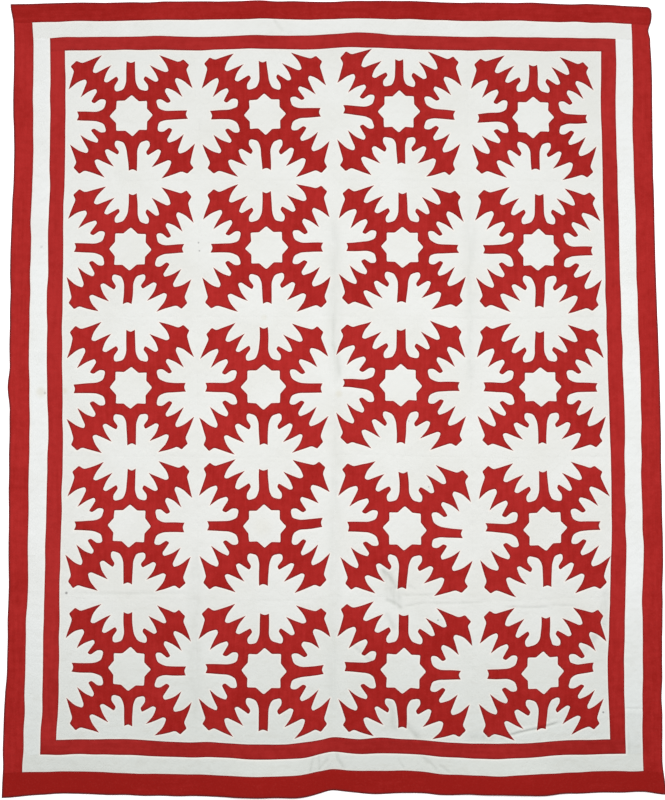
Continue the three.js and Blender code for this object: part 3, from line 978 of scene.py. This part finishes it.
# %% Sew on the strips
HEM_ROLL = 3.0  # width of the round edge
HEM_DRAW = 1.8  # and its fall
END_DRAW = 0.15  # of the seam at the end of a strip
RIB = {"pitch": 9, "length": 60, "height": 0.2, "seed": 21}  # puckers across a strip
RIB_CLEAR = 20  # they fade over this width at the hem
STRIP_QUILT_START = (1, 6)  # from a seam to the first of the quilting and to all of it
PIECED = -955  # where the right white strip was pieced from two lengths
PIECED_NEAR = 20  # and the stretch with a finer grid on either side
PIECED_GREY = 0.09
strips = {}
for one, side, edges in strip_plans():
    left, right, low, high = edges
    node = "%s_%s" % (one["name"], side)
    pieced = [(PIECED - PIECED_NEAR, PIECED + PIECED_NEAR)]
    xs = stations(left, right, CREASED_X if node == "white_bottom" else [])
    ys = stations(low, high, pieced if node == "white_right" else [])
    mesh = grid_mesh("strip_" + node, xs, ys, lifted=side == "bottom")
    plan_x, plan_y, top = read_points(mesh)
    x, y = lay_out(plan_x, plan_y)
    upright = side in ("left", "right")
    along, across = (y, x) if upright else (x, y)
    rim = rim_of_strip(plan_x, plan_y, side, edges, one["side"])
    hem = np.minimum(HALF_WIDTH - np.abs(plan_x), HALF_LENGTH - np.abs(plan_y))
    narrow = across * RIB["pitch"] / RIB["length"]
    ribs = RIB["height"] * soft_noise(along, narrow, RIB["pitch"], RIB["seed"])
    height = face(x, y, rim, SEAM_DRAW) + ribs * smoothstep(hem, 0, RIB_CLEAR)
    if upright:
        height = height - END_DRAW * bell(np.minimum(plan_y - low, high - plan_y), SEAM_REACH)
    height = height - HEM_DRAW * (1 - round_over(hem, HEM_ROLL))
    # painted shade of the creases; below the piecing the right white strip adds real dinge
    grey = creases(x, y)[1]
    if one["cloth"] == "white":
        height = height + quilting(x, y) * smoothstep(rim, *STRIP_QUILT_START)
        add_values(mesh, "leaf_gap", 1)
        add_values(mesh, "age", AGE[side])
    if node == "white_right":
        height = height - SEAM_DRAW * bell(plan_y - PIECED, SEAM_REACH)
        grey = grey + PIECED_GREY * smoothstep(PIECED - plan_y, -1, 1)
    height = np.maximum(height, THINNEST)
    write_points(mesh, x, y, lift(plan_x, plan_y) + np.where(top > 0.5, height, 0))
    add_values(mesh, "rim", rim * MM)
    add_values(mesh, "hem", hem * MM)
    add_values(mesh, "grey", grey)
    add_vectors(mesh, "grain", across * MM, along * MM)
    strips[node] = add_piece(mesh)
print("strips made:", len(strips))

# %% [markdown]
# ## Hide the frame's solids
# The frame's solids are hidden, and the sheets stand in for them. The pieces all lie still, so they
# ride on the one body that the frame has.

for key, piece in blocks.items():
    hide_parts("block_%d_%d" % key)
for placing, (key, piece) in zip(PLACING, leaves.items()):
    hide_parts("leaf_%d_%d" % key)
for node, piece in strips.items():
    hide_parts(node)
print("declared:", len(blocks) + len(leaves) + len(strips), "sheets")

# %% [markdown]
# ## The cottons
# Both cloths are plain-woven cotton, washed often. A flat colour would look like paint, so each
# finish mixes shades with slow noise, adds the weave as bump, and stays rough. Helpers keep the
# node trees short: each one adds a node and gives back its output.

# %% Helpers for finishes
def linear(red, green, blue):
    """A screen colour from 0 to 255, as the light that a shader works with."""
    parts = [part / 255 for part in (red, green, blue)]
    light = [part / 12.92 if part < 0.0405 else ((part + 0.055) / 1.055) ** 2.4 for part in parts]
    return light + [1]


def add_node(tree, kind, inputs, output, **settings):
    """A node whose inputs are numbers, colours or the outputs of other nodes."""
    node = tree.nodes.new("ShaderNode" + kind)
    for name, value in settings.items():
        setattr(node, name, value)
    for name, value in inputs.items():
        if isinstance(value, bpy.types.NodeSocket):
            tree.links.new(value, node.inputs[name])
        else:
            node.inputs[name].default_value = value
    return node.outputs[output]


def attribute(tree, name, kind="Fac"):
    return add_node(tree, "Attribute", {}, kind, attribute_name=name)


def axis_of(tree, vector, axis):
    return add_node(tree, "SeparateXYZ", {"Vector": vector}, axis)


def turned(tree, place, degrees=0.0, stretch=(1, 1, 1)):
    inputs = {"Vector": place, "Rotation": (0, 0, math.radians(degrees)), "Scale": stretch}
    return add_node(tree, "Mapping", inputs, "Vector")


def noise(tree, place, size, detail):
    """Soft noise between about 0.2 and 0.8, in patches that are `size` metres across."""
    return add_node(tree, "TexNoise", {"Vector": place, "Scale": 1 / size, "Detail": detail}, "Fac")


print("colours: a screen's middle grey is", round(linear(128, 128, 128)[0], 3), "as light")

# %% [markdown]
# Wear and dirt are shades laid over each other. A shade's share is a number that nodes work out
# from noise or from an attribute, and a soft step turns a measure, such as the distance from a
# seam, into such a share.

# %% Sums, shades and bumps
def work_out(tree, operation, first, second):
    return add_node(tree, "Math", {0: first, 1: second}, "Value", operation=operation)


def times(tree, first, second):
    return work_out(tree, "MULTIPLY", first, second)


def add_up(tree, first, *others):
    for one in others:
        first = work_out(tree, "ADD", first, one)
    return first


def beyond(tree, value, low, high):
    """0 where a value is below `low`, 1 above `high`, and smooth between."""
    inputs = {"Value": value, "From Min": low, "From Max": high}
    return add_node(tree, "MapRange", inputs, "Result", interpolation_type="SMOOTHSTEP")


def within(tree, value, low, high):
    """1 where a value is below `low`, 0 above `high`, and smooth between."""
    return work_out(tree, "SUBTRACT", 1.0, beyond(tree, value, low, high))


def blend(tree, share, first, second):
    """A colour between two colours."""
    inputs = {"Factor": share, 6: first, 7: second}
    return add_node(tree, "Mix", inputs, 2, data_type="RGBA")


def tint(tree, colour, shade, where, share):
    """A colour that takes up a share of a shade where `where` is 1."""
    return blend(tree, times(tree, where, share), colour, shade)


def press(tree, height, depth, below=None):
    """A bump from heights, over another bump if there is one."""
    inputs = {"Height": height, "Strength": 1, "Distance": depth}
    if below:
        inputs["Normal"] = below
    return add_node(tree, "Bump", inputs, "Normal")


print("helpers for finishes: ready")

# %% [markdown]
# Both cottons start alike: rough, with the threads of a plain weave pressed into them and small
# crinkles over those, and both are painted darker towards the foot, a painted shade where the light
# falls off.

# %% What both cottons share
THREAD = 0.0009  # from one thread to the next
THREAD_DEPTH = 0.00012
CRINKLE = 0.006  # size of the crinkles
CRINKLE_DEPTH = 0.0006


def new_cotton(name):
    finish = bpy.data.materials.new(name)
    finish.use_nodes = True
    tree = finish.node_tree
    shader = tree.nodes["Principled BSDF"]
    shader.inputs["Roughness"].default_value = 0.92
    shader.inputs["Specular IOR Level"].default_value = 0.15
    return finish, tree, shader, add_node(tree, "TexCoord", {}, "Object")


def threads(tree, place, direction):
    """The rounded backs of threads that lie side by side. At a scale of 1 this texture has a band
    every pi / 10 metres."""
    inputs = {"Vector": place, "Scale": math.pi / 10 / THREAD}
    return add_node(tree, "TexWave", inputs, "Fac", bands_direction=direction)


def weave(tree, place):
    """Plain weave: warp and weft threads cross, with small crinkles over them."""
    crossing = times(tree, threads(tree, place, "X"), threads(tree, place, "Y"))
    fine = press(tree, crossing, THREAD_DEPTH)
    return press(tree, noise(tree, place, CRINKLE, 3), CRINKLE_DEPTH, fine)


def towards_foot(tree, place, start, end):
    """0 above one place and 1 below the other, in metres down from the middle."""
    return beyond(tree, times(tree, axis_of(tree, place, "Y"), -1.0), start, end)


print("weave: threads", round(THREAD / MM, 2), "mm apart")

# %% [markdown]
# ## White cotton
# Old white cotton is cool where it was bleached and warm where it has aged, and mottled with dinge.
# Towards the foot it is painted greyer and more mottled, a painted shade where the light falls off,
# and painted shade darkens its creases.

# %% White cotton
COOL_WHITE = linear(238, 240, 239)
WARM_WHITE = linear(223, 223, 216)
FOOT_SHADE_WHITE = linear(204, 212, 206)
DINGE_AND_SHADE_WHITE = linear(204, 203, 193)
SHADE_AND_DINGE_GREY = linear(178, 182, 174)

white_cotton, tree, shader, place = new_cotton("aged white cotton")
# painted shade: the white greys towards the foot, where the light falls off
foot_shade = towards_foot(tree, place, 0.45, 1.15)
patches = beyond(tree, noise(tree, place, size=0.22, detail=3), 0.38, 0.68)
aged = add_up(tree, times(tree, patches, 0.25), attribute(tree, "age"))
colour = blend(tree, aged, COOL_WHITE, WARM_WHITE)
colour = tint(tree, colour, FOOT_SHADE_WHITE, where=foot_shade, share=0.4)
wide = turned(tree, place, stretch=(0.4, 1, 1))
mottle = beyond(tree, noise(tree, wide, size=0.014, detail=4), 0.48, 0.75)
# the mottled dinge grows towards the foot, partly real dinge and partly painted shade
soiling_and_foot_shade = add_up(tree, times(tree, foot_shade, 0.16), 0.08)
colour = tint(tree, colour, DINGE_AND_SHADE_WHITE, where=mottle, share=soiling_and_foot_shade)
tall = turned(tree, place, stretch=(1, 0.25, 1))
streaks = beyond(tree, noise(tree, tall, size=0.02, detail=3), 0.3, 0.7)
uneven = add_up(tree, streaks, 0.5)
# painted shade in the creases, and the pieced strip's dinge, tint the white grey
colour = tint(tree, colour, SHADE_AND_DINGE_GREY, where=attribute(tree, "grey"), share=uneven)
print("white cotton so far:", len(tree.nodes), "nodes")

# %% [markdown]
# A few small dark marks and faint yellowed ones are set where they are on the cloth, each with its
# place and radius in metres and its strength. Beside each sewn edge the white is painted paler and
# creamier, a painted highlight.

# %% Marks on the white
DARK_MARK = linear(96, 92, 96)
YELLOWED = linear(206, 196, 160)
CREAM_HIGHLIGHT = linear(252, 243, 234)
DARK_MARKS = [
    (-0.802, -0.604, 0.006, 0.7), (0.313, -0.685, 0.004, 0.6), (0.805, -0.958, 0.0045, 0.7),
    (-0.412, 0.458, 0.004, 0.5), (-0.409, 0.433, 0.004, 0.5), (-0.891, 0.445, 0.006, 0.2),
    (0.227, -0.087, 0.004, 0.3), (0.287, -0.286, 0.004, 0.4), (0.029, 0.038, 0.005, 0.3),
    (-0.874, -0.002, 0.006, 0.4),
]
STAINS = [
    (0.016, -0.004, 0.016, 0.22), (-0.214, -0.404, 0.040, 0.1), (-0.211, 0.228, 0.014, 0.15),
    (-0.886, 0.001, 0.022, 0.25), (-0.816, 0.005, 0.014, 0.25),
]
CORE = 0.2  # the share of a mark's radius with its full strength

for shade, marks in ((DARK_MARK, DARK_MARKS), (YELLOWED, STAINS)):
    for x, y, radius, strength in marks:
        ends = {0: place, 1: (x, y, CLOTH * MM)}
        away = add_node(tree, "VectorMath", ends, "Value", operation="DISTANCE")
        mark = within(tree, away, CORE * radius, radius)
        colour = tint(tree, colour, shade, where=mark, share=strength)
# painted highlight: the white is paler and creamier beside each sewn edge
edge = work_out(tree, "MINIMUM", attribute(tree, "leaf_gap"), attribute(tree, "rim"))
colour = tint(tree, colour, CREAM_HIGHLIGHT, where=within(tree, edge, 0.001, 0.006), share=0.5)
print("marks:", len(DARK_MARKS), "dark and", len(STAINS), "yellowed")

# %% [markdown]
# The quilting's stitches are short dashes along the grooves, pressed in and a little darker, a
# painted shade in the stitch holes. Folding the slanted coordinates back and forth gives the
# distance from the nearest row, and from the nearest stitch along it.

# %% Stitches in the white
STITCH = 0.0045  # from one stitch to the next

slanted = turned(tree, place, degrees=45)
row_off = work_out(tree, "PINGPONG", axis_of(tree, slanted, "X"), QUILT_PITCH * MM / 2)
on_row = within(tree, row_off, 0.0003, 0.0009)
dash = work_out(tree, "PINGPONG", axis_of(tree, slanted, "Y"), STITCH / 2)
on_dash = beyond(tree, dash, 0.0007, 0.0011)
clear = beyond(tree, attribute(tree, "leaf_gap"), 0.004, 0.007)
stitched = times(tree, times(tree, on_row, on_dash), clear)
# painted shade in the stitch holes: the dashes are a little darker
colour = tint(tree, colour, DINGE_AND_SHADE_WHITE, where=stitched, share=0.06)
tree.links.new(colour, shader.inputs["Base Color"])
tree.links.new(press(tree, stitched, -0.00015, weave(tree, place)), shader.inputs["Normal"])
white_strips = [piece for node, piece in strips.items() if node.startswith("white")]
for piece in white_strips + list(blocks.values()):
    piece.data.materials.append(white_cotton)
print("white cotton:", len(tree.nodes), "nodes")

# %% [markdown]
# ## Red cotton
# The red is dyed cloth that has faded unevenly. Streaks of it run along each strip's threads. The
# red is darker along each sewn edge, and painted darker along the hem, a painted shade where the
# hem rolls over.

# %% Red cotton
DEEP_RED = linear(152, 22, 17)
FADED_RED = linear(184, 44, 42)
PALE_RED = linear(196, 76, 70)
DARK_RED = linear(84, 34, 36)

red_cotton, tree, shader, place = new_cotton("faded red cotton")
grain = attribute(tree, "grain", "Vector")
patchy = times(tree, noise(tree, place, size=0.16, detail=3), 0.6)
long_threads = turned(tree, grain, stretch=(1, 0.06, 1))
streaky = times(tree, noise(tree, long_threads, size=0.009, detail=3), 0.5)
wear = noise(tree, place, size=0.02, detail=3)
worn = times(tree, work_out(tree, "SUBTRACT", wear, 0.5), 0.5)
# painted shade: the red deepens towards the foot, where the light falls off
foot_shade = times(tree, towards_foot(tree, place, 0.2, 1.2), -0.2)
faded_and_shaded = add_up(tree, patchy, streaky, worn, attribute(tree, "fade_and_shade"), foot_shade)
colour = blend(tree, beyond(tree, faded_and_shaded, 0.1, 1.1), DEEP_RED, FADED_RED)
specks = beyond(tree, noise(tree, place, size=0.005, detail=2), 0.5, 0.8)
colour = tint(tree, colour, PALE_RED, where=specks, share=0.12)
colour = blend(tree, attribute(tree, "dull"), colour, DARK_RED)
along_seam = within(tree, attribute(tree, "rim"), 0.001, 0.0055)
colour = tint(tree, colour, DARK_RED, where=along_seam, share=0.4)
# painted shade: the red darkens along the hem, where it rolls over
hem_shade = within(tree, attribute(tree, "hem"), 0.002, 0.008)
colour = tint(tree, colour, DARK_RED, where=hem_shade, share=0.55)
tree.links.new(colour, shader.inputs["Base Color"])
tree.links.new(weave(tree, grain), shader.inputs["Normal"])
print("red cotton:", len(tree.nodes), "nodes")

# %% [markdown]
# Each red piece has its own depth of colour, because the strips and leaves came from different
# parts of the bolt. The outer top and bottom strips are set deeper still, a painted shade where the
# light falls off at both ends. The inner strips are duller. One material serves them all, and reads
# these numbers from the meshes.

# %% Depth of each red
# painted shade in part: the outer top and bottom strips are set deeper where the light falls off
STRIP_FADE_AND_SHADE = {
    "outer_red_left": 0.14, "outer_red_right": 0.1, "outer_red_top": -0.12,
    "outer_red_bottom": -0.2, "inner_red_left": 0.25, "inner_red_right": 0.15,
    "inner_red_top": 0.15, "inner_red_bottom": 0.15,
}
INNER_DULLNESS = {"left": 0.06, "right": 0.03, "top": 0.1, "bottom": 0.1}
LEAF_FADING = {1: -0.01, 2: 0.06, 3: 0.1, 4: 0.07, 5: 0.09}  # row by row
LEAF_SPREAD = 0.03  # from leaf to leaf in a row
for node, strip_fade_and_shade in STRIP_FADE_AND_SHADE.items():
    mesh = strips[node].data
    add_values(mesh, "fade_and_shade", strip_fade_and_shade)
    add_values(mesh, "dull", INNER_DULLNESS[node.split("_")[-1]] if node.startswith("inner") else 0)
    mesh.materials.append(red_cotton)
for (row, column), piece in leaves.items():
    bolt = LEAF_FADING[row] + LEAF_SPREAD * math.sin(2.3 * row + 4.1 * column)
    add_values(piece.data, "fade_and_shade", bolt)
    piece.data.materials.append(red_cotton)
print("red pieces:", len(STRIP_FADE_AND_SHADE), "strips and", len(leaves), "leaves")

# %% [markdown]
# ## Floor, light and camera
# The bedspread is seen from above on a bright, plain floor. A large flat grid is enough for that.
# It glows a little, so that it stays white right up to the hem.

# %% Floor
FLOOR_HALF = 12
FLOOR_BELOW = 0.0005  # a hair under the cloth, so that the two don't flicker

bm = bmesh.new()
bmesh.ops.create_grid(bm, x_segments=1, y_segments=1, size=FLOOR_HALF)
bmesh.ops.translate(bm, verts=bm.verts[:], vec=(0, 0, -FLOOR_BELOW))
floor = add_object("floor", to_mesh(bm, "floor"))
paper = bpy.data.materials.new("bright plain floor")
paper.use_nodes = True
paper_shader = paper.node_tree.nodes["Principled BSDF"]
paper_shader.inputs["Base Color"].default_value = (0.95, 0.95, 0.95, 1)
paper_shader.inputs["Roughness"].default_value = 0.95
paper_shader.inputs["Emission Color"].default_value = (1, 1, 1, 1)
paper_shader.inputs["Emission Strength"].default_value = 0.5
floor.data.materials.append(paper)
print("floor:", 2 * FLOOR_HALF, "m wide")

# %% [markdown]
# A long soft light hangs over the bedspread, so that its middle is brightest. A low wide sun past
# its top edge rakes over the cloth and brings out the creases, and the world fills the shadows.

# %% Light
scene = bpy.context.scene
scene.view_settings.view_transform = "Standard"
scene.world = bpy.data.worlds.new("soft studio")
scene.world.use_nodes = True
sky = scene.world.node_tree.nodes["Background"]
sky.inputs["Color"].default_value = (1, 1, 1, 1)
sky.inputs["Strength"].default_value = 0.34

lamp = bpy.data.lights.new("long soft light", "AREA")
lamp.shape = "RECTANGLE"
lamp.size = 3.4
lamp.size_y = 1.6
lamp.energy = 55
light = add_object("long soft light", lamp)
light.location = (0.1, 0.25, 3.0)

low_sun = bpy.data.lights.new("low wide sun", "SUN")
low_sun.energy = 1.65
low_sun.angle = math.radians(20)
sun = add_object("low wide sun", low_sun)
sun.rotation_euler = (-Vector((0.15, 0.85, 0.5))).to_track_quat("-Z", "Y").to_euler()
print("lights:", lamp.energy, "W overhead and a sun of", round(low_sun.energy, 2))

# %% [markdown]
# The camera stands high above the foot of the bedspread and looks down with a slight tilt, so the
# lower border is a little nearer than the upper one.

# %% Camera
TILT = math.radians(4.3)
DISTANCE = 5.0
LOOK_AT = Vector((-0.0033, -0.0229, 0))

camera = add_object("camera", bpy.data.cameras.new("camera"))
camera.data.lens = 74.25
camera.data.sensor_width = 36
camera.location = LOOK_AT + DISTANCE * Vector((0, -math.sin(TILT), math.cos(TILT)))
camera.rotation_euler = (TILT, 0, 0)
scene.camera = camera
print("camera at", [round(v, 3) for v in camera.location])
